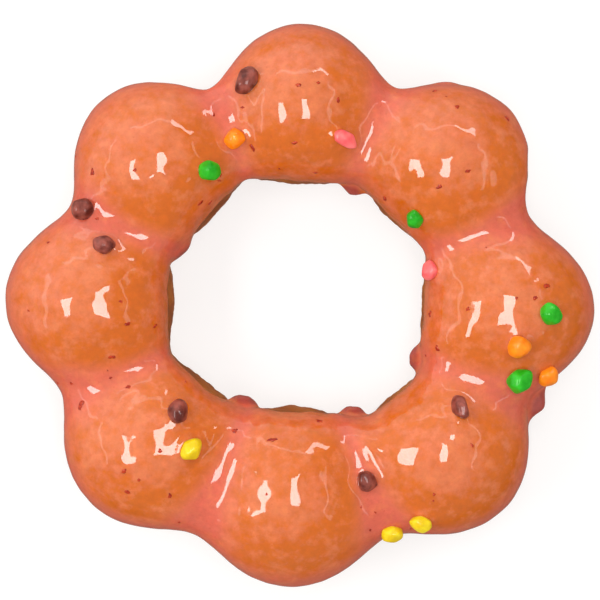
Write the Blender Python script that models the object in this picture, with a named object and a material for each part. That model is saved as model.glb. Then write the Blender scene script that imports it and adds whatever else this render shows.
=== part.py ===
"""Ring doughnut: eight dough balls fused in a circle, dipped in glaze and dotted with sugar sprinkles.

Metres, +Z up. The ring lies flat with its feet on z = 0, and the middle of its base is the origin.
The dough is one solid. The glaze is a thin closed coat over its upper half. The sprinkles and the drips
that hang in the creases are fused to the glaze.

Both surfaces use two angles. theta goes round the ring from +X towards +Y. turn goes round the
cross-section: 0 is the outer equator, a quarter turn is the crown and half a turn is the inner equator.
"""

import math

import bmesh
import bpy
import numpy as np
from mathutils import Matrix, Vector

MM = 0.001

# The balls in the order of theta. Middle on the outer and the inner side (degrees), outer and inner reach,
# fall of the outer arch by the crease, and crown height (mm).
BALLS = (
    (-2.4, -2.3, 46.85, 20.55, 12.0, 24.6),
    (41.6, 43.8, 45.1, 20.55, 10.4, 24.9),
    (88.5, 88.1, 43.55, 19.15, 9.7, 24.3),
    (135.6, 135.9, 43.95, 19.6, 9.5, 24.5),
    (180.0, 180.5, 46.15, 20.5, 11.4, 24.7),
    (223.8, 227.8, 45.6, 19.85, 8.8, 24.4),
    (268.8, 267.9, 45.25, 17.8, 8.7, 25.0),
    (314.6, 311.9, 46.5, 22.25, 10.1, 24.8),
)
RING_MIDDLE = (0.1 * MM, 0.9 * MM)
FOOT_DEPTH = 1.0 * MM  # how far a ball would reach below z = 0 if it weren't flattened there

# How far the other arches have fallen at a crease, and how sharply two arches meet there (per metre).
INNER_DROP, CROWN_DROP, FOOT_DROP = 2.7 * MM, 6.2 * MM, 6.0 * MM
OUTER_SHARPNESS, INNER_SHARPNESS, CROWN_SHARPNESS, FOOT_SHARPNESS = 250.0, 1250.0, 500.0, 400.0
CREASE_FLATNESS = 0.11  # the section's corners are this share further out at a crease, which flattens its top
UNEVENNESS = 0.22 * MM

# The glaze: its clearance to the dough, and its thickness on the crown and at the sides.
GLAZE_CLEARANCE = 0.4 * MM
GLAZE_CROWN = 0.6 * MM
GLAZE_SIDE = 0.9 * MM
CROWN_POOLING = 0.65  # its arches meet this much less sharply on top, because it fills the creases
SIDE_POOLING = 0.8  # the same at the two equators

# Edges of the glaze, as turns (degrees). It rises on three stretches outside, and runs down into the
# creases inside. Each rise or run is its theta, half-width and height (degrees).
OUTER_EDGE, OUTER_EDGE_WAVE = -8.0, 3.0
INNER_EDGE, INNER_EDGE_TILT, INNER_EDGE_TILT_THETA = 162.0, 4.0, 20.0
OUTER_EDGE_RISES = ((27.0, 9.0, 30.0), (65.0, 6.0, 24.0), (114.0, 9.0, 31.0))
INNER_EDGE_RUNS = (
    (65.5, 8.0, 14.0),
    (155.5, 9.0, 18.0),
    (243.0, 9.0, 20.0),
    (295.5, 8.0, 16.0),
    (334.5, 8.0, 15.0),
)

# Drips in the creases: theta and turn (degrees), half-sizes along the ring, down the side and out (mm).
DRIPS = (
    (65.5, 178.0, 1.9, 1.6, 0.9),
    (155.5, 172.0, 2.3, 2.6, 0.8),
    (243.0, 174.0, 2.3, 2.0, 0.8),
    (295.5, 177.0, 1.9, 1.8, 0.8),
    (334.5, 177.0, 1.8, 2.2, 0.9),
    (337.0, 8.0, 2.0, 2.1, 1.1),
)
DRIP_SINK = 0.6 * MM
DRIP_ROUNDNESS = 2  # subdivisions of the icosahedron that a drip starts from

# Sprinkles: distance from the ring's middle (mm), theta, length and thickness (mm), heading (degrees).
# The first six are brown, and then come four green, three orange, three yellow and two pink ones.
SPRINKLES = (
    (35.3, 102.1, 4.6, 3.2, 58.0),
    (36.5, 157.1, 3.6, 3.3, 20.0),
    (31.7, 164.7, 3.4, 2.8, -20.0),
    (26.1, 223.3, 3.9, 3.0, 82.0),
    (30.7, 290.9, 3.2, 2.8, -60.0),
    (31.0, 326.1, 4.0, 2.6, -72.0),
    (25.1, 124.8, 3.2, 3.1, 0.0),
    (23.1, 34.7, 3.0, 2.6, 80.0),
    (39.6, 356.8, 3.7, 3.2, -15.0),
    (37.1, 340.8, 4.3, 3.5, 20.0),
    (27.5, 111.0, 3.1, 2.8, 40.0),
    (35.6, 348.7, 3.6, 3.3, 60.0),
    (41.2, 343.6, 3.3, 2.9, 30.0),
    (28.9, 234.2, 3.9, 3.0, 45.0),
    (39.6, 292.3, 3.3, 2.8, 30.0),
    (40.1, 299.6, 3.6, 2.8, -20.0),
    (26.6, 74.0, 4.0, 2.4, -30.0),
    (22.3, 12.2, 3.2, 2.5, 70.0),
)
SPRINKLE_SINK = 0.5 * MM
SPRINKLE_SIDES = 6
SPRINKLE_ROUNDING = 0.45  # how much of the radius is taken off at each end's rim

# Mesh steps: round the ring, round the dough's section and across the glaze.
RING_STEPS = 112
DOUGH_STEPS = 22
GLAZE_STEPS = 13

HALF_PITCH = math.pi / len(BALLS)


def clear_scene():
    for thing in list(bpy.data.objects):
        bpy.data.objects.remove(thing, do_unlink=True)


def make_material(name, colour, roughness):
    material = bpy.data.materials.new(name)
    material.use_nodes = True
    shader = material.node_tree.nodes["Principled BSDF"]
    shader.inputs["Base Color"].default_value = (*colour, 1.0)
    shader.inputs["Roughness"].default_value = roughness
    shader.inputs["Metallic"].default_value = 0.0
    return material


def wrapped(angle):
    """The same direction as an angle from minus to plus half a turn."""
    return (angle + math.pi) % (2 * math.pi) - math.pi


def arches(theta, middles, peaks, drops, sharpness):
    """Soft maximum of one parabolic arch for each ball, which has fallen by its drop at the crease."""
    heights = []
    for middle, peak, drop in zip(middles, peaks, drops):
        towards_crease = wrapped(theta - math.radians(middle)) / HALF_PITCH
        heights.append(peak - drop * towards_crease**2)
    return np.log(np.sum(np.exp(sharpness * np.array(heights)), axis=0)) / sharpness


def unevenness(theta, turn):
    """Slow swellings of dough shaped by hand, from three waves that fit whole turns."""
    slow = np.sin(3 * theta + 2 * turn)
    middling = np.sin(5 * theta - turn + 1.0)
    quick = np.sin(11 * theta + turn + 2.0)
    return UNEVENNESS * (slow + middling + quick) / 3


def ring_surface(theta, turn, side=0.0, crown=0.0, side_pooling=1.0, crown_pooling=1.0):
    """Points of the ring, grown by side at both equators and by crown on top.

    The cross-section is an ellipse between four lines of arches: outer, inner, crown and foot. Its corners
    are fuller at the creases.
    """
    outer_middles, inner_middles, outer_reach, inner_reach, outer_drops, crowns = np.transpose(BALLS)
    middles = (outer_middles + inner_middles) / 2
    alike = np.ones(len(BALLS))
    outer_sharpness = OUTER_SHARPNESS * side_pooling
    inner_sharpness = INNER_SHARPNESS * side_pooling
    crown_sharpness = CROWN_SHARPNESS * crown_pooling
    outer = arches(theta, outer_middles, outer_reach * MM + side, outer_drops * MM, outer_sharpness)
    inner = -arches(theta, inner_middles, side - inner_reach * MM, INNER_DROP * alike, inner_sharpness)
    top = arches(theta, middles, crowns * MM + crown, CROWN_DROP * alike, crown_sharpness)
    foot = -arches(theta, middles, FOOT_DEPTH * alike, FOOT_DROP * alike, FOOT_SHARPNESS)
    swelling = unevenness(theta, turn)
    valley = (0.5 - 0.5 * np.cos(len(BALLS) * theta)) ** 1.5
    fullness = 1 + CREASE_FLATNESS * valley * np.sin(2 * turn) ** 2
    radius = (outer + inner) / 2 + ((outer - inner) / 2 + swelling) * np.cos(turn) * fullness
    height = (top + foot) / 2 + ((top - foot) / 2 + swelling) * np.sin(turn) * fullness
    x = RING_MIDDLE[0] + radius * np.cos(theta)
    y = RING_MIDDLE[1] + radius * np.sin(theta)
    return np.stack([x, y, height], axis=-1)


def glaze_outside(theta, turn):
    side = GLAZE_CLEARANCE + GLAZE_SIDE
    crown = GLAZE_CLEARANCE + GLAZE_CROWN
    return ring_surface(theta, turn, side, crown, SIDE_POOLING, CROWN_POOLING)


def glaze_inside(theta, turn):
    return ring_surface(theta, turn, GLAZE_CLEARANCE, GLAZE_CLEARANCE)


def bell_curves(theta, table):
    """Sum of bell curves, each from its theta, half-width and height in degrees."""
    total = np.zeros_like(theta)
    for middle, half_width, height in table:
        apart = np.degrees(wrapped(theta - math.radians(middle)))
        total = total + height * np.exp(-((apart / half_width) ** 2))
    return total


def glaze_edges(theta):
    """Turns of the glaze's outer edge, which waves, and of its tilted inner edge."""
    outer = OUTER_EDGE + OUTER_EDGE_WAVE * np.sin(7 * theta) * np.cos(3 * theta)
    outer = outer + bell_curves(theta, OUTER_EDGE_RISES)
    inner = INNER_EDGE + INNER_EDGE_TILT * np.cos(theta - math.radians(INNER_EDGE_TILT_THETA))
    inner = inner + bell_curves(theta, INNER_EDGE_RUNS)
    return np.radians(outer), np.radians(inner)


def closed_grid(rows, columns):
    """Quads of a grid of points that closes on itself both ways, as a torus does."""
    row, column = np.meshgrid(np.arange(rows), np.arange(columns), indexing="ij")
    next_row = (row + 1) % rows
    next_column = (column + 1) % columns
    corners = [
        row * columns + column,
        next_row * columns + column,
        next_row * columns + next_column,
        row * columns + next_column,
    ]
    return np.stack(corners, axis=-1).reshape(-1, 4)


def make_ring(name, points, material):
    """An object from rows of points round the ring, each row a closed section."""
    mesh = bpy.data.meshes.new(name)
    mesh.from_pydata(points.reshape(-1, 3).tolist(), [], closed_grid(*points.shape[:2]).tolist())
    mesh.materials.append(material)
    mesh.shade_smooth()
    ring = bpy.data.objects.new(name, mesh)
    bpy.context.scene.collection.objects.link(ring)
    return ring


def ring_thetas():
    return np.linspace(0, 2 * math.pi, RING_STEPS, endpoint=False)[:, None]


def make_dough():
    """The dough, flattened where its balls rest on z = 0."""
    turn = np.linspace(0, 2 * math.pi, DOUGH_STEPS, endpoint=False)[None, :]
    points = ring_surface(ring_thetas(), turn)
    points[..., 2] = np.maximum(points[..., 2], 0.0)
    return make_ring("dough", points, make_material("fried_dough", (0.62, 0.27, 0.06), 0.55))


def make_glaze():
    """The coat's section runs over its outside from the outer edge to the inner, and back underneath."""
    theta = ring_thetas()
    outer_edge, inner_edge = glaze_edges(theta)
    across = np.linspace(0, 1, GLAZE_STEPS + 1)[None, :]
    turn = outer_edge + (inner_edge - outer_edge) * across
    points = np.concatenate([glaze_outside(theta, turn), glaze_inside(theta, turn)[:, ::-1]], axis=1)
    return make_ring("glaze", points, make_material("pink_glaze", (0.87, 0.24, 0.10), 0.12))


def glaze_frame(theta, turn):
    """A point on the glaze, and the directions along the ring and outwards there."""
    step = 1e-3
    here = Vector(glaze_outside(theta, turn))
    along = (Vector(glaze_outside(theta + step, turn)) - here).normalized()
    over = (Vector(glaze_outside(theta, turn + step)) - here).normalized()
    return here, along, along.cross(over).normalized()


def turn_at(theta, distance):
    """Turn of the glaze's upper side at this distance from the ring's middle, by halving the range."""
    low, high = 0.0, math.pi
    for _ in range(30):
        middle = (low + high) / 2
        point = glaze_outside(theta, middle)
        if math.dist(point[:2], RING_MIDDLE) > distance:
            low = middle
        else:
            high = middle
    return low


def place(shape, name, collection, middle, axes):
    """Links the bmesh as an object whose x, y and z point along these axes."""
    turned = Matrix(axes).transposed().to_4x4()
    bmesh.ops.transform(shape, matrix=Matrix.Translation(middle) @ turned, verts=shape.verts)
    mesh = bpy.data.meshes.new(name)
    shape.to_mesh(mesh)
    shape.free()
    collection.objects.link(bpy.data.objects.new(name, mesh))


def make_sprinkle(name, collection, distance, theta, length, thickness, heading):
    """A short rod with its rims taken off, which lies on the glaze and is sunk a little into it."""
    theta = math.radians(theta)
    surface, _, normal = glaze_frame(theta, turn_at(theta, distance * MM))
    heading = math.radians(heading)
    flat = Vector((math.cos(heading), math.sin(heading), 0.0))
    length_way = (flat - normal * flat.dot(normal)).normalized()
    radius = thickness * MM / 2
    rod = bmesh.new()
    bmesh.ops.create_cone(
        rod, cap_ends=True, segments=SPRINKLE_SIDES, radius1=radius, radius2=radius, depth=length * MM
    )
    rims = [edge for edge in rod.edges if edge.verts[0].co.z * edge.verts[1].co.z > 0]
    bmesh.ops.bevel(rod, geom=rims, offset=SPRINKLE_ROUNDING * radius, segments=1, affect="EDGES")
    middle = surface + normal * (radius - SPRINKLE_SINK)
    place(rod, name, collection, middle, (normal, length_way.cross(normal), length_way))


def make_drip(name, collection, theta, turn, along_size, down_size, out_size):
    """A bead of glaze, stretched along the ring, down the side and outwards."""
    surface, along, normal = glaze_frame(math.radians(theta), math.radians(turn))
    bead = bmesh.new()
    bmesh.ops.create_icosphere(bead, subdivisions=DRIP_ROUNDNESS, radius=1.0)
    sizes = Vector((along_size, down_size, out_size)) * MM
    bmesh.ops.scale(bead, vec=sizes, verts=bead.verts)
    middle = surface + normal * (sizes.z - DRIP_SINK)
    place(bead, name, collection, middle, (along, normal.cross(along), normal))


def make_toppings():
    """The sprinkles and the drips as loose solids in a collection of their own."""
    collection = bpy.data.collections.new("toppings")
    bpy.context.scene.collection.children.link(collection)
    for number, sprinkle in enumerate(SPRINKLES):
        make_sprinkle(f"sprinkle_{number}", collection, *sprinkle)
    for number, drip in enumerate(DRIPS):
        make_drip(f"drip_{number}", collection, *drip)
    return collection


def fuse(carrier, collection):
    """One union of the collection with its carrier, applied. The loose solids are then removed."""
    union = carrier.modifiers.new("fused_toppings", "BOOLEAN")
    union.operation = "UNION"
    union.operand_type = "COLLECTION"
    union.collection = collection
    union.solver = "EXACT"
    graph = bpy.context.evaluated_depsgraph_get()
    fused = bpy.data.meshes.new_from_object(carrier.evaluated_get(graph))
    carrier.modifiers.clear()
    carrier.data = fused
    fused.set_sharp_from_angle(angle=math.radians(50))
    for loose in list(collection.objects):
        bpy.data.objects.remove(loose, do_unlink=True)
    bpy.data.collections.remove(collection)


def main():
    clear_scene()
    make_dough()
    fuse(make_glaze(), make_toppings())


main()
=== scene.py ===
import math

import bpy
import numpy as np
from mathutils import Matrix, Vector


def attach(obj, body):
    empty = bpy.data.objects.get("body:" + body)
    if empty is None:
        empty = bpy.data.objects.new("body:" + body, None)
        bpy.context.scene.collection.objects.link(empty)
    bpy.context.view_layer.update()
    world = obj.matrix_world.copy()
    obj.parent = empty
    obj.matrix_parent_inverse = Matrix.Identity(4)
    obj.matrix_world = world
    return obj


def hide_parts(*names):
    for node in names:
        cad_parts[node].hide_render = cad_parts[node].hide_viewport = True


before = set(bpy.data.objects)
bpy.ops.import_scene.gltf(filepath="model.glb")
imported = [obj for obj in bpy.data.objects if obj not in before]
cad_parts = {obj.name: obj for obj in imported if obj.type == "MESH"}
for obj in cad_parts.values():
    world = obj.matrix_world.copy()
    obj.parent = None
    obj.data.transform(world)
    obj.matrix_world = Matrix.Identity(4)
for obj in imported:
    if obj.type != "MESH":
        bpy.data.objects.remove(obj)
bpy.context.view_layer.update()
mm = 0.001

# Shared helpers


def toLinear(hexColour):
    # sRGB hex to linear: a share under 0.04045 is divided by 12.92, others follow the 2.4 power curve.
    shares = [int(hexColour[i:i + 2], 16) / 255 for i in (1, 3, 5)]
    return [s / 12.92 if s <= 0.04045 else ((s + 0.055) / 1.055) ** 2.4 for s in shares] + [1.0]


def wrapAngle(angle):
    # The same angle, between minus half a turn and half a turn.
    return (angle + math.pi) % (2 * math.pi) - math.pi


def smoothStep(value, low, high):
    # 0 below low, 1 above high, and a smooth rise between.
    share = np.clip((value - low) / (high - low), 0, 1)
    return share * share * (3 - 2 * share)


def ripple(points, seed, count, shortest, longest):
    # Sum of sine waves that cross space in random directions. Long ones are higher, by length to the power
    # 1.5, and the usual height of the whole is 1.
    rng = np.random.default_rng(seed)
    ways = rng.normal(size=(count, 3))
    ways /= np.linalg.norm(ways, axis=1, keepdims=True)
    lengths = np.exp(rng.uniform(np.log(shortest), np.log(longest), count))
    phases = rng.uniform(0, 2 * math.pi, count)
    heights = lengths ** 1.5 / np.sqrt(np.mean(lengths ** 3))
    total = np.zeros(points.shape[:-1])
    for way, length, phase, height in zip(ways, lengths, phases, heights):
        total += height * np.sin(points @ (way * 2 * math.pi / length) + phase)
    return total * math.sqrt(2 / count)


def gridNormals(points):
    # Cross product of the steps along both directions of a grid that closes on itself both ways.
    along = np.roll(points, -1, 0) - np.roll(points, 1, 0)
    across = np.roll(points, -1, 1) - np.roll(points, 1, 1)
    normals = np.cross(along, across)
    return normals / np.linalg.norm(normals, axis=-1, keepdims=True)


def torusFaces(rows, columns):
    # Quads of a grid that closes on itself both ways.
    row, column = np.meshgrid(np.arange(rows), np.arange(columns), indexing="ij")
    nextRow, nextColumn = (row + 1) % rows, (column + 1) % columns
    corners = (row * columns + column, nextRow * columns + column,
               nextRow * columns + nextColumn, row * columns + nextColumn)
    return np.stack(corners, -1).reshape(-1, 4)


def ballFaces(rows, columns):
    # Quads between rings of points, and a fan of triangles to each of the two poles, which come last.
    row, column = np.meshgrid(np.arange(rows - 1), np.arange(columns), indexing="ij")
    nextColumn = (column + 1) % columns
    quads = np.stack((row * columns + column, row * columns + nextColumn,
                      (row + 1) * columns + nextColumn, (row + 1) * columns + column), -1).reshape(-1, 4)
    edge = np.arange(columns)
    nextEdge = (edge + 1) % columns
    first = np.stack((np.full(columns, rows * columns), nextEdge, edge), -1)
    lastRow = (rows - 1) * columns
    last = np.stack((np.full(columns, rows * columns + 1), lastRow + edge, lastRow + nextEdge), -1)
    return quads, np.concatenate((first, last))


def ballWays(rows, columns):
    # Unit directions in rings round an axis, by the sine and cosine of two angles, and then the two poles.
    angle = np.pi * np.arange(1, rows + 1)[:, None] / (rows + 1)
    around = 2 * np.pi * np.arange(columns)[None, :] / columns
    rings = (np.sin(angle) * np.cos(around), np.sin(angle) * np.sin(around), np.cos(angle) + 0 * around)
    return np.concatenate((np.stack(rings, -1).reshape(-1, 3), np.array(((0, 0, 1.0), (0, 0, -1.0)))))


def makePiece(name, points, quads, triangles, material, nodes):
    # One smooth mesh from points in millimetres. It stands for the named CAD nodes.
    mesh = bpy.data.meshes.new(name)
    sizes = np.concatenate((np.full(len(quads), 4), np.full(len(triangles), 3))).astype(np.int32)
    corners = np.concatenate((np.ravel(quads), np.ravel(triangles))).astype(np.int32)
    mesh.vertices.add(len(points))
    mesh.vertices.foreach_set("co", (points * mm).astype(np.float32).ravel())
    mesh.loops.add(len(corners))
    mesh.loops.foreach_set("vertex_index", corners)
    mesh.polygons.add(len(sizes))
    mesh.polygons.foreach_set("loop_start", np.cumsum(sizes, dtype=np.int32) - sizes)
    mesh.polygons.foreach_set("use_smooth", np.ones(len(sizes), bool))
    mesh.update(calc_edges=True)
    mesh.validate()
    mesh.materials.append(material)
    piece = bpy.data.objects.new(name, mesh)
    bpy.context.scene.collection.objects.link(piece)
    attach(piece, "root")
    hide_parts(*nodes)
    return piece


def makeBalls(name, shapes, rows, columns, material):
    # One piece of the glaze from many shapes that all have a ball's rings and poles.
    quads, triangles = ballFaces(rows, columns)
    starts = len(shapes[0]) * np.arange(len(shapes))[:, None, None]
    makePiece(name, np.concatenate(shapes), (quads + starts).reshape(-1, 4),
              (triangles + starts).reshape(-1, 3), material, ["glaze"])


def storeValues(piece, name, values):
    # One number for each point, which the piece's material reads.
    attribute = piece.data.attributes.new(name, "FLOAT", "POINT")
    attribute.data.foreach_set("value", values.astype(np.float32).ravel())


def addNode(tree, kind, inputs=None, stops=None, **settings):
    # A shader node with its settings, its ramp's stops, and its inputs as values or as links from sockets.
    node = tree.nodes.new(kind)
    for name, value in settings.items():
        setattr(node, name, value)
    for number, (place, colour) in enumerate(stops or ()):
        ramp = node.color_ramp.elements
        stop = ramp[number] if number < 2 else ramp.new(place)
        stop.position = place
        stop.color = toLinear(colour)
    for name, value in (inputs or {}).items():
        if isinstance(value, bpy.types.NodeSocket):
            tree.links.new(value, node.inputs[name])
        else:
            node.inputs[name].default_value = value
    return node


def startMaterial(name):
    # An empty material with its output, and the place of a point on the object.
    material = bpy.data.materials.new(name)
    material.use_nodes = True
    tree = material.node_tree
    tree.nodes.clear()
    output = addNode(tree, "ShaderNodeOutputMaterial")
    place = addNode(tree, "ShaderNodeTexCoord").outputs["Object"]
    return material, tree, output, place


# The ring's form, shared by the dough and the glaze

ringForm = {
    # Each ball: its middle on the outer and on the inner side (degrees), its outer and inner reach, how far
    # its outer arch has fallen at the crease, and its crown's height.
    "balls": (
        (-2.4, -2.3, 46.85, 20.55, 12.0, 24.6),
        (41.6, 43.8, 45.1, 20.55, 10.4, 24.9),
        (88.5, 88.1, 43.55, 19.15, 9.7, 24.3),
        (135.6, 135.9, 43.95, 19.6, 9.5, 24.5),
        (180.0, 180.5, 46.15, 20.5, 11.4, 24.7),
        (223.8, 227.8, 45.6, 19.85, 8.8, 24.4),
        (268.8, 267.9, 45.25, 17.8, 8.7, 25.0),
        (314.6, 311.9, 46.5, 22.25, 10.1, 24.8),
    ),
    "middle": (0.1, 0.9),
    "footDepth": 1.0,  # how far a ball would reach below the table if it weren't flattened there
    "innerFall": 2.7,
    "crownFall": 6.2,
    "footFall": 6.0,
    "outerSharpness": 0.25,  # how sharply two arches meet at a crease, per millimetre
    "innerSharpness": 1.25,
    "crownSharpness": 0.5,
    "footSharpness": 0.4,
    "creaseFlatness": 0.11,  # the section's corners are this share further out at a crease
    "creaseNarrowness": 1.5,
    "unevenness": 0.22,
    # Each slow swelling: its waves round the ring, its waves round the section, and where it starts.
    "swellings": ((3, 2, 0), (5, -1, 1), (11, 1, 2)),
    # Usual radii, which turn angles into lengths.
    "holeRadius": 20.0,
    "middleRadius": 32.0,
    "outerRadius": 43.0,
    "sectionRadius": 13.0,
}


def arches(theta, middles, peaks, falls, sharpness):
    # Soft maximum (logarithm of a sum of powers of e) of one parabola for each ball. Each has fallen by its
    # fall at the crease.
    halfPitch = math.pi / len(middles)
    heights = [peak - fall * (wrapAngle(theta - math.radians(middle)) / halfPitch) ** 2
               for middle, peak, fall in zip(middles, peaks, falls)]
    return np.log(np.sum(np.exp(sharpness * np.array(heights)), axis=0)) / sharpness


def creaseShare(theta):
    # 1 in the creases and 0 on the balls: half of one minus a cosine with one wave for each ball, to a power
    # that narrows it.
    return (0.5 - 0.5 * np.cos(len(ringForm["balls"]) * theta)) ** ringForm["creaseNarrowness"]


def ringPoints(theta, turn, side=0.0, crown=0.0, sidePooling=1.0, crownPooling=1.0):
    # theta goes round the ring. turn goes round its cross-section: 0 outside, a quarter turn at the crown
    # and half a turn at the hole. The section is an ellipse between the outer, inner, crown and foot arches,
    # with fuller corners at the creases, which flattens their tops, and with slow swellings, which are sine
    # waves. side and crown thicken it, and pooling under 1 fills its creases.
    form = ringForm
    outerMiddles, innerMiddles, outerReach, innerReach, outerFalls, crowns = np.transpose(form["balls"])
    middles = (outerMiddles + innerMiddles) / 2
    alike = np.ones(len(middles))
    outer = arches(theta, outerMiddles, outerReach + side, outerFalls, form["outerSharpness"] * sidePooling)
    inner = -arches(theta, innerMiddles, side - innerReach, form["innerFall"] * alike,
                    form["innerSharpness"] * sidePooling)
    top = arches(theta, middles, crowns + crown, form["crownFall"] * alike,
                 form["crownSharpness"] * crownPooling)
    foot = -arches(theta, middles, form["footDepth"] * alike, form["footFall"] * alike,
                   form["footSharpness"])
    waves = sum(np.sin(along * theta + over * turn + start) for along, over, start in form["swellings"])
    swelling = form["unevenness"] * waves / len(form["swellings"])
    fullness = 1 + form["creaseFlatness"] * creaseShare(theta) * np.sin(2 * turn) ** 2
    radius = (outer + inner) / 2 + ((outer - inner) / 2 + swelling) * np.cos(turn) * fullness
    height = (top + foot) / 2 + ((top - foot) / 2 + swelling) * np.sin(turn) * fullness
    x = form["middle"][0] + radius * np.cos(theta)
    y = form["middle"][1] + radius * np.sin(theta)
    return np.stack((x, y, height), -1)


# The dough

doughLook = {
    "rows": 640,
    "columns": 120,
    "growth": 0.4,  # fills the gap that the CAD dough leaves under its glaze
    "wrinkleHeight": 0.07,
    "wrinkleLengths": (1.6, 5.0),
    "poreHeight": 0.03,
    "poreLengths": (0.9, 1.6),
    "crust": ("#763a0a", "#945010", "#b36c1e"),
    "blotchSize": 5.0,
    "band": "#d89c50",  # the pale line round the side of anything that floats while it fries
    "bandHeight": 6.0,
    "bandHalfWidth": 2.4,
    "bandWaver": 3.0,
    "bandShare": 0.75,
    "grainSize": 0.7,
    "grainHeight": 0.06,
}


def friedDoughMaterial():
    # Deep-fried glutinous rice dough. Its crust is golden brown in soft blotches, matt with a little oil,
    # and paler round the side, where it floated above the oil on both turns.
    look = doughLook
    material, tree, output, place = startMaterial("friedRiceDough")
    blotches = addNode(tree, "ShaderNodeTexNoise", {"Vector": place, "Scale": 1 / (look["blotchSize"] * mm),
                                                    "Detail": 5.0, "Roughness": 0.6})
    crust = addNode(tree, "ShaderNodeValToRGB", {"Fac": blotches.outputs["Fac"]},
                    stops=((0.28, look["crust"][0]), (0.74, look["crust"][2]), (0.5, look["crust"][1])))
    parts = addNode(tree, "ShaderNodeSeparateXYZ", {"Vector": place})
    waver = addNode(tree, "ShaderNodeMath", {0: blotches.outputs["Fac"], 1: look["bandWaver"] * mm,
                                             2: parts.outputs["Z"]}, operation="MULTIPLY_ADD")
    bandMiddle = (look["bandHeight"] + look["bandWaver"] / 2) * mm
    fromBand = addNode(tree, "ShaderNodeMath", {0: waver.outputs[0], 1: bandMiddle}, operation="SUBTRACT")
    distance = addNode(tree, "ShaderNodeMath", {0: fromBand.outputs[0]}, operation="ABSOLUTE")
    bandShare = addNode(tree, "ShaderNodeMapRange", {"Value": distance.outputs[0], "From Min": 0.0,
                                                     "From Max": look["bandHalfWidth"] * mm,
                                                     "To Min": look["bandShare"], "To Max": 0.0},
                        interpolation_type="SMOOTHSTEP")
    colour = addNode(tree, "ShaderNodeMix", {
        "Factor": bandShare.outputs["Result"], "A": crust.outputs["Color"],
        "B": toLinear(look["band"])}, data_type="RGBA")
    grain = addNode(tree, "ShaderNodeTexNoise", {"Vector": place, "Scale": 1 / (look["grainSize"] * mm),
                                                 "Detail": 3.0})
    relief = addNode(tree, "ShaderNodeBump", {"Height": grain.outputs["Fac"], "Strength": 0.6,
                                              "Distance": look["grainHeight"] * mm})
    shader = addNode(tree, "ShaderNodeBsdfPrincipled", {
        "Base Color": colour.outputs["Result"], "Roughness": 0.5, "IOR": 1.4,
        "Normal": relief.outputs["Normal"], "Subsurface Weight": 0.12,
        "Subsurface Radius": (1.0, 0.45, 0.2), "Subsurface Scale": 1.0 * mm})
    tree.links.new(shader.outputs["BSDF"], output.inputs["Surface"])
    return material


def makeDough():
    # The ring's surface, grown a little, and moved along its normals by wrinkles and pores. What would reach
    # below the table is flat on it.
    look = doughLook
    theta = np.linspace(0, 2 * math.pi, look["rows"], endpoint=False)[:, None]
    turn = np.linspace(0, 2 * math.pi, look["columns"], endpoint=False)[None, :]
    points = ringPoints(theta, turn, look["growth"], look["growth"])
    relief = look["wrinkleHeight"] * ripple(points, 11, 40, *look["wrinkleLengths"])
    relief += look["poreHeight"] * ripple(points, 12, 40, *look["poreLengths"])
    points = points + gridNormals(points) * relief[..., None]
    points[..., 2] = np.maximum(points[..., 2], 0.0)
    quads = torusFaces(look["rows"], look["columns"])
    makePiece("friedDough", points.reshape(-1, 3), quads, [], friedDoughMaterial(), ["dough"])


makeDough()
print("dough made")

# The sprinkles' places, which the glaze needs too, because it climbs up them

sprinkleLook = {
    # Each sprinkle: distance from the ring's middle, theta (degrees), length, thickness, heading (degrees).
    "brown": (
        (35.3, 102.1, 4.6, 3.2, 58.0),
        (36.5, 157.1, 3.6, 3.3, 20.0),
        (31.7, 164.7, 3.4, 2.8, -20.0),
        (26.1, 223.3, 3.9, 3.0, 82.0),
        (30.7, 290.9, 3.2, 2.8, -60.0),
        (31.0, 326.1, 4.0, 2.6, -72.0),
    ),
    "green": (
        (25.1, 124.8, 3.2, 3.1, 0.0),
        (23.1, 34.7, 3.0, 2.6, 80.0),
        (39.6, 356.8, 3.7, 3.2, -15.0),
        (37.1, 340.8, 4.3, 3.5, 20.0),
    ),
    "orange": (
        (27.5, 111.0, 3.1, 2.8, 40.0),
        (35.6, 348.7, 3.6, 3.3, 60.0),
        (41.2, 343.6, 3.3, 2.9, 30.0),
    ),
    "yellow": (
        (28.9, 234.2, 3.9, 3.0, 45.0),
        (39.6, 292.3, 3.3, 2.8, 30.0),
        (40.1, 299.6, 3.6, 2.8, -20.0),
    ),
    "pink": (
        (26.6, 74.0, 4.0, 2.4, -30.0),
        (22.3, 12.2, 3.2, 2.5, 70.0),
    ),
    "sink": 0.5,
    "plumpness": 1.08,
    "rows": 26,
    "columns": 40,
    "facets": 17,
    "facetJitter": 0.12,
    "facetDepths": (0.9, 1.05),
    "facetPower": 11,
    "filmHighlightSize": 1.6,
    # Each colour: the sugar, and the lighter patches on it, partly sugar under a film of glaze and partly
    # painted highlight.
    "hues": {
        "brown": ("#521810", "#984e42"),
        "green": ("#0f980b", "#2cb822"),
        "orange": ("#f07804", "#f8941a"),
        "yellow": ("#d8b804", "#ecd820"),
        "pink": ("#ee5a60", "#f67e7c"),
    },
}
sprinkleHues = sprinkleLook["hues"]

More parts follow.
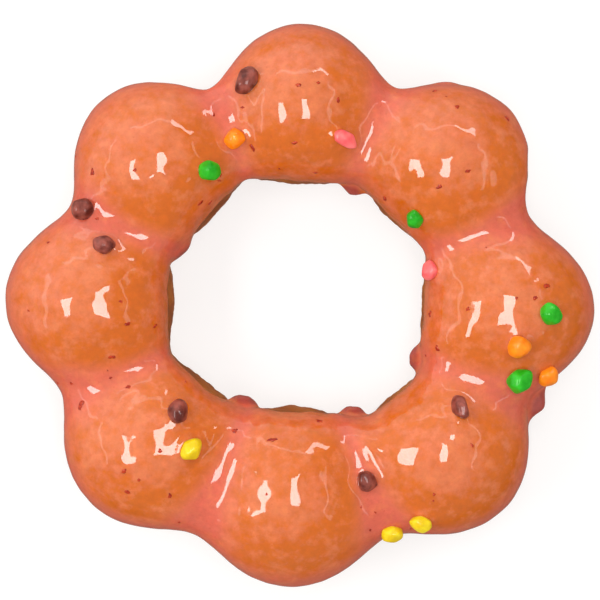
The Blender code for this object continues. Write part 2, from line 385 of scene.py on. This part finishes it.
glazeForm = {
    "side": 1.3,  # how far it stands out from the CAD dough at the sides
    "crown": 1.0,
    "sidePooling": 0.8,
    "crownPooling": 0.65,
    # The edges are turns in degrees. The tilt is its height and the theta where it's highest. Each rise or
    # run is its theta, half-width and height, and each wave of a waver is its count and where it starts.
    "outerEdge": -8.0,
    "innerEdge": 162.0,
    "innerEdgeTilt": (4.0, 20.0),
    "outerRises": ((27.0, 9.0, 30.0), (65.0, 6.0, 24.0), (114.0, 9.0, 31.0)),
    "innerRuns": ((64.5, 8.5, 14.0), (155.5, 9.0, 18.0), (243.0, 9.0, 20.0), (295.5, 8.0, 16.0),
                  (334.5, 8.0, 15.0)),
    "outerSwing": 3.0,
    "outerWaver": 1.6,
    "outerWaves": ((17, 0.4), (29, 2.1), (43, 4.0)),
    "innerWaver": 0.8,
    "innerWaves": ((13, 1.4), (23, 3.1), (37, 5.0)),
    # Each drip: theta and turn (degrees), half-sizes along the ring and down the side, and how far it stands
    # out.
    "drips": (
        (63.4, 176.0, 2.2, 2.0, 1.9),
        (157.0, 171.0, 2.2, 2.8, 1.1),
        (243.0, 173.0, 2.4, 2.2, 1.8),
        (295.5, 175.0, 2.0, 2.0, 1.7),
        (334.5, 175.0, 1.9, 2.4, 1.9),
        (336.7, 8.0, 2.7, 2.6, 2.4),
        (32.4, 4.0, 2.0, 2.6, 0.35),
        (55.6, 6.0, 1.6, 2.4, 0.3),
    ),
    "dripPower": 3.2,
    "rows": 720,
    "columns": 92,
    "backColumns": 12,
    "evenSteps": 0.35,  # share of its steps that are even, where the others are closer at its lips
    "sunk": 0.15,  # how deep its underside lies in the dough
    "lipWidth": 0.9,
    "thinEdge": 0.55,  # share of its thickness near its edge, which is full taperWidth further in
    "taperWidth": 4.0,
    "coatRange": (0.75, 1.7),  # its usual thickness on a crown and in a crease
    "waveHeight": 0.035,
    "waveLengths": (1.5, 6.0),
    "calm": 0.8,  # share of the waves' height that is missing where the coat is deepest
    "runHeight": 0.02,  # ridges that run down the creases, where the glaze flowed
    "runWidths": (1.2, 3.0),
    "runStretch": 2.6,
    "climb": 0.3,  # how high it climbs round a sprinkle, and how far out
    "climbWidth": 0.8,
}


def glazePoints(theta, turn):
    # The ring's surface, thickened to the outside of the glaze.
    form = glazeForm
    return ringPoints(theta, turn, form["side"], form["crown"], form["sidePooling"], form["crownPooling"])


def surfaceFrame(theta, turn):
    # A point of the glaze, and its outward direction: the cross product of small steps both ways.
    step = 1e-3
    here = glazePoints(theta, turn)
    along = glazePoints(theta + step, turn) - here
    over = glazePoints(theta, turn + step) - here
    normal = np.cross(along, over)
    return here, normal / np.linalg.norm(normal)


def turnAt(theta, distance):
    # The turn at which the glaze's upper side is this far from the ring's middle, by halving the range.
    low, high = 0.0, math.pi
    for _ in range(30):
        middle = (low + high) / 2
        point = glazePoints(theta, middle)
        if math.dist(point[:2], ringForm["middle"]) > distance:
            low = middle
        else:
            high = middle
    return low


def alongSurface(heading, normal):
    # The level direction with this heading (degrees), less its part along the normal, at unit length.
    level = np.array((math.cos(math.radians(heading)), math.sin(math.radians(heading)), 0.0))
    way = level - normal * (level @ normal)
    return way / np.linalg.norm(way)


def sprinkleFrame(distance, theta, _, thickness, heading):
    # Middle, length direction and outward direction of a sprinkle that lies on the glaze.
    angle = math.radians(theta)
    here, normal = surfaceFrame(angle, turnAt(angle, distance))
    return here + normal * (thickness / 2 - sprinkleLook["sink"]), alongSurface(heading, normal), normal


# The glaze


def bellCurves(theta, table):
    # Sum of heights times e to the minus squared distance, in half-widths.
    return sum(height * np.exp(-(np.degrees(wrapAngle(theta - math.radians(middle))) / halfWidth) ** 2)
               for middle, halfWidth, height in table)


def glazeEdges(theta):
    # Turns of the outer and the inner edge: slow waves, bell-shaped rises and runs, and a fine waver, which
    # is half the sum of three sine waves.
    form = glazeForm
    outer = form["outerEdge"] + form["outerSwing"] * np.sin(7 * theta) * np.cos(3 * theta)
    outer = outer + bellCurves(theta, form["outerRises"])
    tilt, tiltTheta = form["innerEdgeTilt"]
    inner = form["innerEdge"] + tilt * np.cos(theta - math.radians(tiltTheta))
    inner = inner + bellCurves(theta, form["innerRuns"])
    outerWaver = sum(np.sin(count * theta + start) for count, start in form["outerWaves"])
    innerWaver = sum(np.sin(count * theta + start) for count, start in form["innerWaves"])
    outer = outer + form["outerWaver"] * outerWaver / 2
    inner = inner + form["innerWaver"] * innerWaver / 2
    return np.radians(outer), np.radians(inner)


def dripHeights(theta, turn):
    # Round-topped bumps: each is its height times e to the minus distance, which is in half-sizes and raised
    # to the drips' power.
    form = glazeForm
    total = 0.0
    for dripTheta, dripTurn, alongSize, downSize, height in form["drips"]:
        radius = ringForm["holeRadius"] if dripTurn > 90 else ringForm["outerRadius"]
        along = radius * wrapAngle(theta - math.radians(dripTheta)) / alongSize
        down = ringForm["sectionRadius"] * wrapAngle(turn - math.radians(dripTurn)) / downSize
        total = total + height * np.exp(-(along ** 2 + down ** 2) ** (form["dripPower"] / 2))
    return total


def climbHeights(points):
    # Near a sprinkle the glaze climbs: a bell curve of the distance to the sprinkle's side.
    form = glazeForm
    total = np.zeros(points.shape[:-1])
    for hue in sprinkleHues:
        for place in sprinkleLook[hue]:
            length, thickness = place[2], place[3]
            middle, lengthWay, _ = sprinkleFrame(*place)
            offset = points - middle
            share = np.clip(offset @ lengthWay, -length / 2 + thickness / 2, length / 2 - thickness / 2)
            gap = np.linalg.norm(offset - share[..., None] * lengthWay, axis=-1) - thickness / 2
            climb = form["climb"] * np.exp(-(np.maximum(gap, 0) / form["climbWidth"]) ** 2)
            total = np.maximum(total, climb)
    return total


def coatPoints(theta, turn):
    # The coat before its ripple. Between a line just inside the dough and the full coat, it is rounded down
    # to nothing at its lips and thin for a few millimetres from them. Depth is its thickness as a share: 0
    # on a crown and 1 in a crease.
    form = glazeForm
    outerEdge, innerEdge = glazeEdges(theta)
    fromEdge = ringForm["sectionRadius"] * np.minimum(turn - outerEdge, innerEdge - turn)
    lip = np.sqrt(np.clip(1 - (1 - np.clip(fromEdge / form["lipWidth"], 0, 1)) ** 2, 0, 1))
    thin = form["thinEdge"] + (1 - form["thinEdge"]) * smoothStep(fromEdge, 0, form["taperWidth"])
    growth = doughLook["growth"] - form["sunk"]
    inside = ringPoints(theta, turn, growth, growth)
    outside = glazePoints(theta, turn)
    thickness = np.linalg.norm(outside - inside, axis=-1)
    points = inside + (outside - inside) * (lip * thin)[..., None]
    least, most = form["coatRange"]
    return points, inside, lip, (thickness * thin - least) / (most - least)


def coatLift(points, theta, turn, lip, depth):
    # Ripple, calmer where the coat is deep, ridges down the creases, which are a ripple stretched that way,
    # drips, and the climb round sprinkles. All fade out at the lips.
    form = glazeForm
    calm = 1 - form["calm"] * np.clip(depth, 0, 1)
    waves = form["waveHeight"] * calm * ripple(points, 21, 48, *form["waveLengths"])
    across = ringForm["middleRadius"] * theta + 0 * turn
    down = ringForm["sectionRadius"] * turn / form["runStretch"] + 0 * theta
    flow = np.stack((across, down, 0 * across), -1)
    runs = form["runHeight"] * creaseShare(theta) * ripple(flow, 22, 40, *form["runWidths"])
    return (waves + runs + dripHeights(theta, turn) + climbHeights(points)) * lip


glazeLook = {
    "thin": "#cc6d41",  # the fried dough shows through where the coat is thin
    "middling": "#cc6a46",
    "thick": "#cc6446",
    "pooled": "#ca5c46",
    "dripHueAndShade": "#a24840",  # the thick glaze's berry colour in the drips, darkened as painted shade, since they hang on the shaded edges
    "golden": "#c45e00",
    "shadedSideWay": -50.0,  # the heading of each ball's shaded side, away from the upper-left light, where more golden is painted as shade (degrees)
    "pale": "#dc8044",
    "powder": "#b4401c",
    "shades": (0.9, 1.1),  # the dough's fine grain shows through as slightly darker and lighter dots
    "patchSize": 6.0,
    "patchDepth": 0.9,  # how much the patches vary the depth that the colour follows
    "spotSize": 2.4,
    "powderSize": 0.55,
    "crumbSize": 1.3,
    "rimPooling": 0.5,  # how much deeper it counts at the outer rim, and by which turns (degrees)
    "rimTurns": (12.0, 42.0),
    "dripPooling": 0.5,  # the same in drips, for each millimetre
    "dripHeights": (0.1, 0.8),  # where a drip's own colour begins and is full
    # Where golden crust shows: shares for the slopes, for a slope's least shaded side and for the hole's
    # side, and the part lost at the hole's lip. Then the ranges that they rise over: distance from a ball's
    # middle, cosine of the angle to its shaded side, where the extra golden is painted shade, and turns
    # (degrees) up from the rim, to the hole and to the lip.
    "goldenSlope": 0.85,
    "goldenLeast": 0.25,
    "goldenHole": 0.45,
    "goldenLoss": 0.75,
    "slopeDistances": (3.5, 8.0),
    "shadedSideFacings": (-0.7, 0.8),
    "slopeTurns": (18.0, 48.0),
    "holeTurns": (90.0, 120.0),
    "lipTurns": (118.0, 150.0),
}


def goldenShares(points, turn):
    # How much golden crust shows through: more with distance from the middle of the nearest ball, most of
    # all on each ball's lower-right side, away from the upper-left light, where the extra golden is painted
    # shade, and more towards the hole. The thick outer rim hides it, and so does the hole's lip.
    look = glazeLook
    shadedSideWay = math.radians(look["shadedSideWay"])
    nearest = np.full(points.shape[:-1], 99.0)
    facing = np.zeros(points.shape[:-1])
    for outerMiddle, innerMiddle, outerReach, innerReach, _, _ in ringForm["balls"]:
        angle = math.radians((outerMiddle + innerMiddle) / 2)
        radius = (outerReach + innerReach) / 2
        x = points[..., 0] - ringForm["middle"][0] - radius * math.cos(angle)
        y = points[..., 1] - ringForm["middle"][1] - radius * math.sin(angle)
        gap = np.hypot(x, y)
        towards = (x * math.cos(shadedSideWay) + y * math.sin(shadedSideWay)) / np.maximum(gap, 1e-6)
        facing = np.where(gap < nearest, towards, facing)
        nearest = np.minimum(nearest, gap)
    # Painted shade: more golden on the side that faces away from the upper-left light.
    paintedShade = smoothStep(facing, *look["shadedSideFacings"])
    slope = smoothStep(nearest, *look["slopeDistances"])
    slope = slope * (look["goldenLeast"] + (1 - look["goldenLeast"]) * paintedShade)
    slope = slope * smoothStep(turn, *np.radians(look["slopeTurns"]))
    towardsHole = smoothStep(turn, *np.radians(look["holeTurns"]))
    lip = smoothStep(turn, *np.radians(look["lipTurns"]))
    shares = np.clip(look["goldenSlope"] * slope + look["goldenHole"] * towardsHole, 0, 1)
    return shares * (1 - look["goldenLoss"] * lip)


def berryGlazeMaterial():
    # Icing sugar and berry juice, set but still wet to the eye. Thin, it lets the golden dough through, and
    # thick, it turns salmon pink. It has a smooth clear gloss.
    look = glazeLook
    material, tree, output, place = startMaterial("berryGlaze")
    depth = addNode(tree, "ShaderNodeAttribute", attribute_name="depth")
    patches = addNode(tree, "ShaderNodeTexNoise", {"Vector": place, "Scale": 1 / (look["patchSize"] * mm),
                                                   "Detail": 4.0, "Roughness": 0.55})
    uneven = addNode(tree, "ShaderNodeMath", {0: patches.outputs["Fac"], 1: look["patchDepth"],
                                              2: depth.outputs["Fac"]}, operation="MULTIPLY_ADD")
    levelled = addNode(tree, "ShaderNodeMath", {0: uneven.outputs[0], 1: look["patchDepth"] / 2},
                       operation="SUBTRACT")
    coat = addNode(tree, "ShaderNodeValToRGB", {"Fac": levelled.outputs[0]},
                   stops=((0.0, look["thin"]), (1.0, look["pooled"]), (0.3, look["middling"]),
                          (0.65, look["thick"])))
    drip = addNode(tree, "ShaderNodeAttribute", attribute_name="drip")
    # Drip colour: the glaze's deeper berry colour, darkened as painted shade.
    deep = addNode(tree, "ShaderNodeMix", {"Factor": drip.outputs["Fac"], "A": coat.outputs["Color"],
                                           "B": toLinear(look["dripHueAndShade"])}, data_type="RGBA")
    spots = addNode(tree, "ShaderNodeTexNoise", {"Vector": place, "Scale": 1 / (look["spotSize"] * mm),
                                                 "Detail": 4.0, "Roughness": 0.6})
    bake = addNode(tree, "ShaderNodeAttribute", attribute_name="golden")
    bakedSpots = addNode(tree, "ShaderNodeMath", {0: bake.outputs["Fac"], 1: 0.3, 2: spots.outputs["Fac"]},
                         operation="MULTIPLY_ADD")
    goldenShare = addNode(tree, "ShaderNodeMapRange", {"Value": bakedSpots.outputs[0], "From Min": 0.44,
                                                       "From Max": 0.8, "To Min": 0.0, "To Max": 0.95},
                          interpolation_type="SMOOTHSTEP")
    clear = addNode(tree, "ShaderNodeMapRange", {"Value": depth.outputs["Fac"], "From Min": 0.3,
                                                 "From Max": 0.75, "To Min": 1.0, "To Max": 0.0})
    goldenMask = addNode(tree, "ShaderNodeMath", {0: goldenShare.outputs["Result"],
                                                  1: clear.outputs["Result"]}, operation="MULTIPLY")
    golden = addNode(tree, "ShaderNodeMix", {"Factor": goldenMask.outputs[0], "A": deep.outputs["Result"],
                                             "B": toLinear(look["golden"])}, data_type="RGBA")
    paleShare = addNode(tree, "ShaderNodeMapRange", {"Value": spots.outputs["Fac"], "From Min": 0.48,
                                                     "From Max": 0.3, "To Min": 0.0, "To Max": 0.3})
    pale = addNode(tree, "ShaderNodeMix", {
        "Factor": paleShare.outputs["Result"], "A": golden.outputs["Result"],
        "B": toLinear(look["pale"])}, data_type="RGBA")
    grains = addNode(tree, "ShaderNodeTexNoise", {"Vector": place, "Scale": 1 / (look["powderSize"] * mm),
                                                  "Detail": 2.0})
    powderShare = addNode(tree, "ShaderNodeMapRange", {"Value": grains.outputs["Fac"], "From Min": 0.62,
                                                       "From Max": 0.78, "To Min": 0.0, "To Max": 0.3})
    powder = addNode(tree, "ShaderNodeMix", {
        "Factor": powderShare.outputs["Result"], "A": pale.outputs["Result"],
        "B": toLinear(look["powder"])}, data_type="RGBA")
    crumbs = addNode(tree, "ShaderNodeTexNoise", {"Vector": place, "Scale": 1 / (look["crumbSize"] * mm),
                                                  "Detail": 4.0, "Roughness": 0.7})
    shade = addNode(tree, "ShaderNodeMapRange", {"Value": crumbs.outputs["Fac"], "From Min": 0.3,
                                                 "From Max": 0.7, "To Min": look["shades"][0],
                                                 "To Max": look["shades"][1]})
    grained = addNode(tree, "ShaderNodeHueSaturation", {"Color": powder.outputs["Result"],
                                                        "Value": shade.outputs["Result"]})
    shader = addNode(tree, "ShaderNodeBsdfPrincipled", {
        "Base Color": grained.outputs["Color"], "Roughness": 0.3, "Specular IOR Level": 0.0,
        "Subsurface Weight": 0.2, "Subsurface Radius": (1.0, 0.35, 0.2), "Subsurface Scale": 1.2 * mm,
        "Coat Weight": 1.0, "Coat Roughness": 0.04, "Coat IOR": 1.6})
    tree.links.new(shader.outputs["BSDF"], output.inputs["Surface"])
    return material


def makeGlaze():
    # A closed section carried round the ring. Outside, it runs from the outer to the inner edge. Underneath,
    # it runs back just inside the dough.
    form, look = glazeForm, glazeLook
    theta = np.linspace(0, 2 * math.pi, form["rows"], endpoint=False)[:, None]
    outerEdge, innerEdge = glazeEdges(theta)
    even = np.linspace(0, 1, form["columns"])[None, :]
    share = form["evenSteps"] * even + (1 - form["evenSteps"]) * (1 - np.cos(math.pi * even)) / 2
    turn = outerEdge + (innerEdge - outerEdge) * share
    points, inside, lip, depth = coatPoints(theta, turn)
    wall = np.concatenate((points, inside[:, ::-1]), 1)
    normals = gridNormals(wall)[:, :form["columns"]]
    points = points + normals * coatLift(points, theta, turn, lip, depth)[..., None]
    heights = dripHeights(theta, turn)
    rim = 1 - smoothStep(turn, *np.radians(look["rimTurns"]))
    depth = depth + look["dripPooling"] * heights + look["rimPooling"] * rim
    drip = smoothStep(heights, *look["dripHeights"])
    backTurn = outerEdge + (innerEdge - outerEdge) * np.linspace(1, 0, form["backColumns"] + 2)[None, 1:-1]
    back = coatPoints(theta, backTurn)[1]
    section = np.concatenate((points, back), 1)
    allTurns = np.concatenate((turn, backTurn), 1)
    depths = np.concatenate((depth, np.ones(back.shape[:2])), 1)
    piece = makePiece("berryGlaze", section.reshape(-1, 3), torusFaces(*section.shape[:2]), [],
                      berryGlazeMaterial(), ["glaze"])
    storeValues(piece, "depth", np.clip(depths, 0, 1))
    drips = np.concatenate((drip, np.zeros(back.shape[:2])), 1)
    storeValues(piece, "drip", drips)
    storeValues(piece, "golden", goldenShares(section, allTurns) * (1 - drips))


makeGlaze()
print("glaze made")

# The sprinkles


def sugarMaterial(name, body, filmHighlight):
    # Pressed sugar with food colour, wetted by the glaze. It's a saturated, slightly soft-edged colour under
    # lighter patches, partly glaze film and partly painted highlight, and a clear highlight from its coat.
    material, tree, output, place = startMaterial(name)
    patches = addNode(tree, "ShaderNodeTexNoise", {"Vector": place, "Detail": 3.0,
                                                   "Scale": 1 / (sprinkleLook["filmHighlightSize"] * mm)})
    share = addNode(tree, "ShaderNodeMapRange", {"Value": patches.outputs["Fac"], "From Min": 0.35,
                                                 "From Max": 0.68, "To Min": 0.0, "To Max": 1.0})
    # Lighter patches: partly glaze film, partly painted highlight.
    colour = addNode(tree, "ShaderNodeMix", {"Factor": share.outputs["Result"], "A": toLinear(body),
                                             "B": toLinear(filmHighlight)}, data_type="RGBA")
    shader = addNode(tree, "ShaderNodeBsdfPrincipled", {
        "Base Color": colour.outputs["Result"], "Roughness": 0.4, "Specular IOR Level": 0.1,
        "Subsurface Weight": 0.15, "Subsurface Radius": (1.0, 0.8, 0.5), "Subsurface Scale": 0.5 * mm,
        "Coat Weight": 0.55, "Coat Roughness": 0.1, "Coat IOR": 1.5})
    tree.links.new(shader.outputs["BSDF"], output.inputs["Surface"])
    return material


def sprinklePoints(length, thickness, seed):
    # A softened chunk with flat facets. Its reach in a direction is the sum, over the facets, of how
    # directly each faces that way divided by its distance, to a high power, and then the root of one over
    # that. The facets face evenly all ways, moved a little, and lie near an ellipsoid.
    look = sprinkleLook
    rng = np.random.default_rng(seed)
    ways = ballWays(look["rows"], look["columns"])
    number = np.arange(look["facets"]) + 0.5
    rise = 1 - 2 * number / look["facets"]
    turned = number * math.pi * (3 - math.sqrt(5)) + rng.uniform(0, 6)
    level = np.sqrt(1 - rise ** 2)
    facets = np.stack((level * np.cos(turned), level * np.sin(turned), rise), -1)
    facets += rng.normal(scale=look["facetJitter"], size=facets.shape)
    facets /= np.linalg.norm(facets, axis=1, keepdims=True)
    halfSizes = np.array((thickness, thickness, length)) / 2
    distances = np.linalg.norm(facets * halfSizes, axis=1)
    distances = distances * rng.uniform(*look["facetDepths"], look["facets"])
    facing = np.maximum(ways @ facets.T, 0) / distances
    reach = np.sum(facing ** look["facetPower"], axis=1) ** (-1 / look["facetPower"])
    points = ways * reach[:, None]
    return points * halfSizes * look["plumpness"] / np.abs(points).max(axis=0)


def makeSprinkles():
    # One piece for each colour. Each chunk lies on the glaze, a little sunk, along its heading.
    look = sprinkleLook
    seed = 100
    for hue, (body, filmHighlight) in sprinkleHues.items():
        shapes = []
        for place in look[hue]:
            seed += 1
            middle, lengthWay, normal = sprinkleFrame(*place)
            axes = np.stack((normal, np.cross(lengthWay, normal), lengthWay))
            shapes.append(sprinklePoints(place[2], place[3], seed) @ axes + middle)
        makeBalls(hue + "Sprinkles", shapes, look["rows"], look["columns"],
                  sugarMaterial(hue + "SugarSprinkle", body, filmHighlight))


makeSprinkles()
print("sprinkles made")

# The berry specks

speckLook = {
    # Places of the larger specks in a picture 600 pixels wide, seen from viewPoint: x, y, then length,
    # width (mm) and heading (degrees).
    "pixels": (
        (92, 172, 1.2, 0.8, 100), (201, 203, 1.0, 0.6, 30), (210, 203, 0.8, 0.5, 40),
        (252, 147, 1.3, 0.6, -50), (295, 143, 0.9, 0.7, 10), (338, 100, 0.9, 0.6, 80),
        (298, 85, 0.8, 0.6, 0), (435, 91, 0.8, 0.6, 20), (457, 107, 0.9, 0.7, 60),
        (507, 119, 1.0, 0.6, -40), (468, 171, 0.9, 0.6, 0), (439, 187, 1.0, 0.6, 15),
        (385, 199, 0.9, 0.6, 60), (546, 286, 1.0, 0.6, 5), (535, 298, 0.8, 0.6, 20),
        (430, 314, 1.0, 0.7, 100), (437, 348, 1.0, 0.7, -60), (127, 324, 0.9, 0.6, 0),
        (155, 326, 0.8, 0.5, 30), (112, 357, 0.8, 0.6, 0), (81, 405, 1.6, 0.8, 70),
        (160, 451, 0.9, 0.6, 0), (124, 471, 0.9, 0.6, 40), (127, 492, 0.8, 0.6, 0),
        (170, 496, 0.8, 0.6, 60), (128, 387, 0.9, 0.6, 0), (272, 440, 1.1, 0.7, 20),
        (320, 421, 0.9, 0.6, 0), (234, 431, 0.9, 0.6, 0), (97, 219, 0.7, 0.5, 0),
    ),
    "strays": 36,
    "strayTurns": (0.25, 2.75),
    "strayLengths": (0.3, 0.65),
    "strayWidths": (0.5, 0.9),  # as shares of their lengths
    "thickness": 0.22,
    "proud": 0.1,  # how far it stands out of the glaze
    "rows": 7,
    "columns": 12,
    "skin": "#901f08",
    "flesh": "#b83a0e",
    "partSize": 0.4,
    "bend": 0.25,
}
viewPoint = {
    "pictureSize": 600,
    "pixelSize": 0.1624,  # at the height of the balls' sides
    "middlePixel": (300.0, 300.0),
    "originPixel": (296.4, 305.5),
    "sideHeight": 12.6,
    "crownRise": 8.0,  # about how far the crowns are above that
    "distance": 400.0,  # from the camera to the sides' height
    "sensor": 36.0,
}


def placeOfPixel(x, y):
    # The line from the camera through a pixel meets the glaze where its height agrees with the surface's,
    # which is found by taking the mean of both again and again.
    size, origin, middle = viewPoint["pixelSize"], viewPoint["originPixel"], viewPoint["middlePixel"]
    sideHeight = viewPoint["sideHeight"]
    camera = np.array(((middle[0] - origin[0]) * size, (origin[1] - middle[1]) * size,
                       sideHeight + viewPoint["distance"]))
    target = np.array(((x - origin[0]) * size, (origin[1] - y) * size, sideHeight))
    height = sideHeight + viewPoint["crownRise"]
    for _ in range(20):
        point = camera + (target - camera) * (camera[2] - height) / viewPoint["distance"]
        flat = point[:2] - np.array(ringForm["middle"])
        theta = math.atan2(flat[1], flat[0])
        turn = turnAt(theta, math.hypot(*flat))
        height = (height + glazePoints(theta, turn)[2]) / 2
    return theta, turn


def berryFleshMaterial():
    # Freeze-dried berry ground small. Its flakes are dark red skin and lighter flesh, matt but wetted by the
    # glaze.
    look = speckLook
    material, tree, output, place = startMaterial("driedBerryFlake")
    parts = addNode(tree, "ShaderNodeTexNoise", {"Vector": place, "Scale": 1 / (look["partSize"] * mm),
                                                 "Detail": 3.0})
    share = addNode(tree, "ShaderNodeMapRange", {"Value": parts.outputs["Fac"], "From Min": 0.4,
                                                 "From Max": 0.6, "To Min": 0.0, "To Max": 1.0})
    colour = addNode(tree, "ShaderNodeMix", {"Factor": share.outputs["Result"], "A": toLinear(look["skin"]),
                                             "B": toLinear(look["flesh"])}, data_type="RGBA")
    shader = addNode(tree, "ShaderNodeBsdfPrincipled", {
        "Base Color": colour.outputs["Result"], "Roughness": 0.4, "Specular IOR Level": 0.2,
        "Coat Weight": 0.4, "Coat Roughness": 0.1})
    tree.links.new(shader.outputs["BSDF"], output.inputs["Surface"])
    return material


def makeSpecks():
    # Each speck is a flat ellipsoid, bent a little by a ripple, that stands just proud of the glaze.
    look = speckLook
    rng = np.random.default_rng(5)
    unit = ballWays(look["rows"], look["columns"])
    specks = [(*placeOfPixel(x, y), *sizes) for x, y, *sizes in look["pixels"]]
    for _ in range(look["strays"]):
        length = rng.uniform(*look["strayLengths"])
        specks.append((rng.uniform(0, 2 * math.pi), rng.uniform(*look["strayTurns"]), length,
                       length * rng.uniform(*look["strayWidths"]), rng.uniform(0, 180)))
    shapes = []
    for number, (theta, turn, length, width, heading) in enumerate(specks):
        normal = surfaceFrame(theta, turn)[1]
        angles = (np.array([[theta]]), np.array([[turn]]))
        coat, _, lip, depth = coatPoints(*angles)
        here = coat[0, 0] + normal * coatLift(coat, *angles, lip, depth)[0, 0]
        lengthWay = alongSurface(heading, normal)
        shape = unit * (1 + look["bend"] * ripple(unit * 3, 300 + number, 8, 2.5, 5.0))[:, None]
        shape = shape * (width / 2, look["thickness"] / 2, length / 2)
        axes = np.stack((np.cross(normal, lengthWay), normal, lengthWay))
        shapes.append(shape @ axes + here + normal * (look["proud"] - look["thickness"] / 2))
    makeBalls("berrySpecks", shapes, look["rows"], look["columns"], berryFleshMaterial())


makeSpecks()
print("specks made")

# Floor, light and camera

stageLook = {
    "floorColour": "#989898",
    "floorGlow": 0.7,
    "floorSize": 12000.0,
    "worldColour": "#fff6f0",
    "lowColour": "#b4968a",  # below the horizon, which the glaze's rims mirror
    "horizonRises": (-0.25, 0.1),  # where the low colour ends and the world's own is full
    "worldStrength": 0.54,
    # Each light: place, width, length, brightness of its face, and the heading of its length (degrees). The
    # first two are tubes, the third is a slot to the far side, and the last three are the pale edges of the
    # ceiling's glow.
    "lights": (
        (-189.0, -39.0, 300.0, 64.0, 185.0, 9.0, 90.0),
        (25.0, -3.0, 280.0, 64.0, 150.0, 9.0, 90.0),
        (206.0, 351.0, 300.0, 42.0, 160.0, 6.0, -30.0),
        (520.0, 0.0, 560.0, 50.0, 700.0, 1.4, 90.0),
        (-850.0, 0.0, 520.0, 70.0, 900.0, 1.4, 90.0),
        (-120.0, 690.0, 560.0, 60.0, 800.0, 1.3, 0.0),
    ),
    # Each soft glow: the way to its middle, the angles from there where it begins and where it is full
    # (degrees), and its strength. The first is the ceiling's, and the second a low one from the upper left.
    "glows": (((-0.28, 0.08, 0.96), (65.0, 22.0), 0.15), ((-0.62, 0.78, 0.1), (90.0, 15.0), 0.75)),
}


def makeFloor():
    # A large pale square just under the doughnut. It glows a little, so it stays pale where light is low.
    look = stageLook
    half = look["floorSize"] / 2 * mm
    mesh = bpy.data.meshes.new("floor")
    corners = [(-half, -half, 0), (half, -half, 0), (half, half, 0), (-half, half, 0)]
    mesh.from_pydata(corners, [], [(0, 1, 2, 3)])
    material, tree, output, _ = startMaterial("paleTable")
    shader = addNode(tree, "ShaderNodeBsdfPrincipled", {
        "Base Color": toLinear(look["floorColour"]), "Roughness": 0.8,
        "Emission Color": toLinear("#ffffff"), "Emission Strength": look["floorGlow"]})
    tree.links.new(shader.outputs["BSDF"], output.inputs["Surface"])
    mesh.materials.append(material)
    floor = bpy.data.objects.new("floor", mesh)
    floor.location.z = -0.02 * mm
    floor.visible_glossy = False  # the glaze's rims keep their colour, as they do in the photo
    bpy.context.scene.collection.objects.link(floor)


def makeLights():
    # The world's strength is even, plus glows that rise with the cosine of the angle to their middles. Each
    # lamp is a rectangle turned to face the doughnut, and its power is brightness times pi times its area.
    look = stageLook
    world = bpy.data.worlds.new("softRoom")
    bpy.context.scene.world = world
    world.use_nodes = True
    tree = world.node_tree
    background = tree.nodes["Background"]
    way = addNode(tree, "ShaderNodeTexCoord").outputs["Generated"]
    strength = look["worldStrength"]
    for middle, angles, glowStrength in look["glows"]:
        nearness = addNode(tree, "ShaderNodeVectorMath", {0: way, 1: Vector(middle).normalized()},
                           operation="DOT_PRODUCT")
        edge, full = (math.cos(math.radians(angle)) for angle in angles)
        glow = addNode(tree, "ShaderNodeMapRange", {"Value": nearness.outputs["Value"], "From Min": edge,
                                                    "From Max": full, "To Min": 0.0, "To Max": glowStrength},
                       interpolation_type="SMOOTHSTEP")
        strength = addNode(tree, "ShaderNodeMath", {0: strength, 1: glow.outputs["Result"]}).outputs[0]
    tree.links.new(strength, background.inputs["Strength"])
    rise = addNode(tree, "ShaderNodeSeparateXYZ", {"Vector": way}).outputs["Z"]
    lowest, highest = look["horizonRises"]
    height = addNode(tree, "ShaderNodeMapRange", {"Value": rise, "From Min": lowest, "From Max": highest})
    colour = addNode(tree, "ShaderNodeMix", {
        "Factor": height.outputs["Result"], "A": toLinear(look["lowColour"]),
        "B": toLinear(look["worldColour"])}, data_type="RGBA")
    tree.links.new(colour.outputs["Result"], background.inputs["Color"])
    for number, (x, y, z, width, length, brightness, heading) in enumerate(look["lights"]):
        data = bpy.data.lights.new("softLight%d" % number, "AREA")
        data.shape = "RECTANGLE"
        data.size = length * mm
        data.size_y = width * mm
        data.energy = brightness * math.pi * length * width * mm ** 2
        light = bpy.data.objects.new("softLight%d" % number, data)
        bpy.context.scene.collection.objects.link(light)
        away = Vector((x, y, z - viewPoint["sideHeight"])).normalized()
        lengthWay = Vector((math.cos(math.radians(heading)), math.sin(math.radians(heading)), 0))
        lengthWay = (lengthWay - away * lengthWay.dot(away)).normalized()
        turned = Matrix((lengthWay, away.cross(lengthWay), away)).transposed()
        light.matrix_world = Matrix.Translation(Vector((x, y, z)) * mm) @ turned.to_4x4()


def makeCamera():
    # Straight above. Its lens is the sensor's width times the distance, divided by the width that it sees.
    size, origin, middle = viewPoint["pixelSize"], viewPoint["originPixel"], viewPoint["middlePixel"]
    data = bpy.data.cameras.new("camera")
    data.sensor_width = viewPoint["sensor"]
    data.lens = viewPoint["sensor"] * viewPoint["distance"] / (viewPoint["pictureSize"] * size)
    data.clip_start = 10 * mm
    camera = bpy.data.objects.new("camera", data)
    camera.location = ((middle[0] - origin[0]) * size * mm, (origin[1] - middle[1]) * size * mm,
                       (viewPoint["sideHeight"] + viewPoint["distance"]) * mm)
    bpy.context.scene.collection.objects.link(camera)
    bpy.context.scene.camera = camera


makeFloor()
makeLights()
makeCamera()
bpy.context.scene.view_settings.view_transform = "Standard"
print("stage made")
